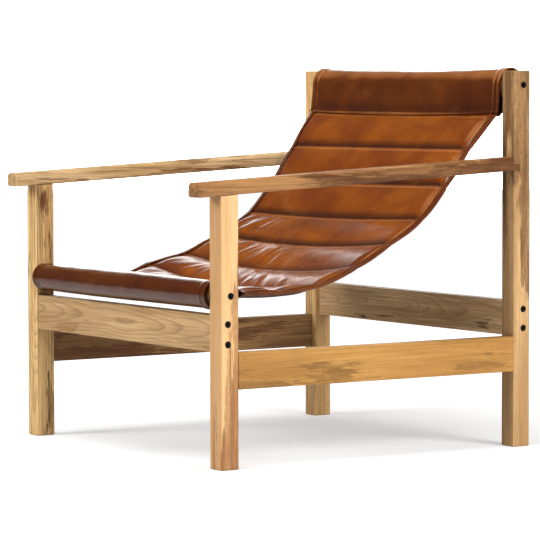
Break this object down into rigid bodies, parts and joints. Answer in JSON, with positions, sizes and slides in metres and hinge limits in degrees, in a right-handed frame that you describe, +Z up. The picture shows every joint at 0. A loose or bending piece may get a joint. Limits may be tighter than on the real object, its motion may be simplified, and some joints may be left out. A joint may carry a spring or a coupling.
{
  "type": "sling lounge chair",
  "caption": "Low lounge chair with a bolted wooden frame, sloping armrests and a quilted leather sling that hangs from a front bar to a top bar.",
  "frame": {"origin": "on the floor, at the centre of the overall box in plan", "axes": "+Z up; -Y the way the sitter faces; +X to the sitter's left"},
  "size_m": [0.744, 0.7877, 0.75],
  "materials": {
    "frame_timber": "clear satin lacquer on pale streaked hardwood",
    "arm_timber": "clear satin lacquer on brown hardwood",
    "bar_timber": "bare turned hardwood",
    "dowel": "bare hardwood",
    "black_steel": "black oxide",
    "hidden_steel": "zinc plated",
    "leather": "glossy waxed cognac leather",
    "lining": "brown woven lining",
    "wadding": "polyester wadding"
  },
  "bodies": {
    "root": {"front_leg_left": "frame_timber", "rear_leg_left": "frame_timber", "side_rail_left": "frame_timber", "armrest_left": "arm_timber", "armrest_dowel_front_left": "dowel", "armrest_dowel_back_left": "dowel", "front_leg_right": "frame_timber", "rear_leg_right": "frame_timber", "side_rail_right": "frame_timber", "armrest_right": "arm_timber", "armrest_dowel_front_right": "dowel", "armrest_dowel_back_right": "dowel", "front_rail": "frame_timber", "back_rail": "frame_timber", "seat_bar": "bar_timber", "top_bar": "bar_timber", "front_rail_bolt_lower_left": "black_steel", "front_rail_nut_lower_left": "hidden_steel", "front_rail_bolt_upper_left": "black_steel", "front_rail_nut_upper_left": "hidden_steel", "back_rail_bolt_lower_left": "black_steel", "back_rail_nut_lower_left": "hidden_steel", "back_rail_bolt_upper_left": "black_steel", "back_rail_nut_upper_left": "hidden_steel", "seat_bar_bolt_left": "black_steel", "seat_bar_insert_left": "hidden_steel", "top_bar_bolt_left": "black_steel", "top_bar_insert_left": "hidden_steel", "front_rail_bolt_lower_right": "black_steel", "front_rail_nut_lower_right": "hidden_steel", "front_rail_bolt_upper_right": "black_steel", "front_rail_nut_upper_right": "hidden_steel", "back_rail_bolt_lower_right": "black_steel", "back_rail_nut_lower_right": "hidden_steel", "back_rail_bolt_upper_right": "black_steel", "back_rail_nut_upper_right": "hidden_steel", "seat_bar_bolt_right": "black_steel", "seat_bar_insert_right": "hidden_steel", "top_bar_bolt_right": "black_steel", "top_bar_insert_right": "hidden_steel", "sling_face": "leather", "sling_padding": "wadding", "sling_backing": "lining", "sling_hem_left": "leather", "sling_hem_right": "leather", "front_sleeve": "leather", "top_sleeve": "leather"}
  },
  "joints": []
}
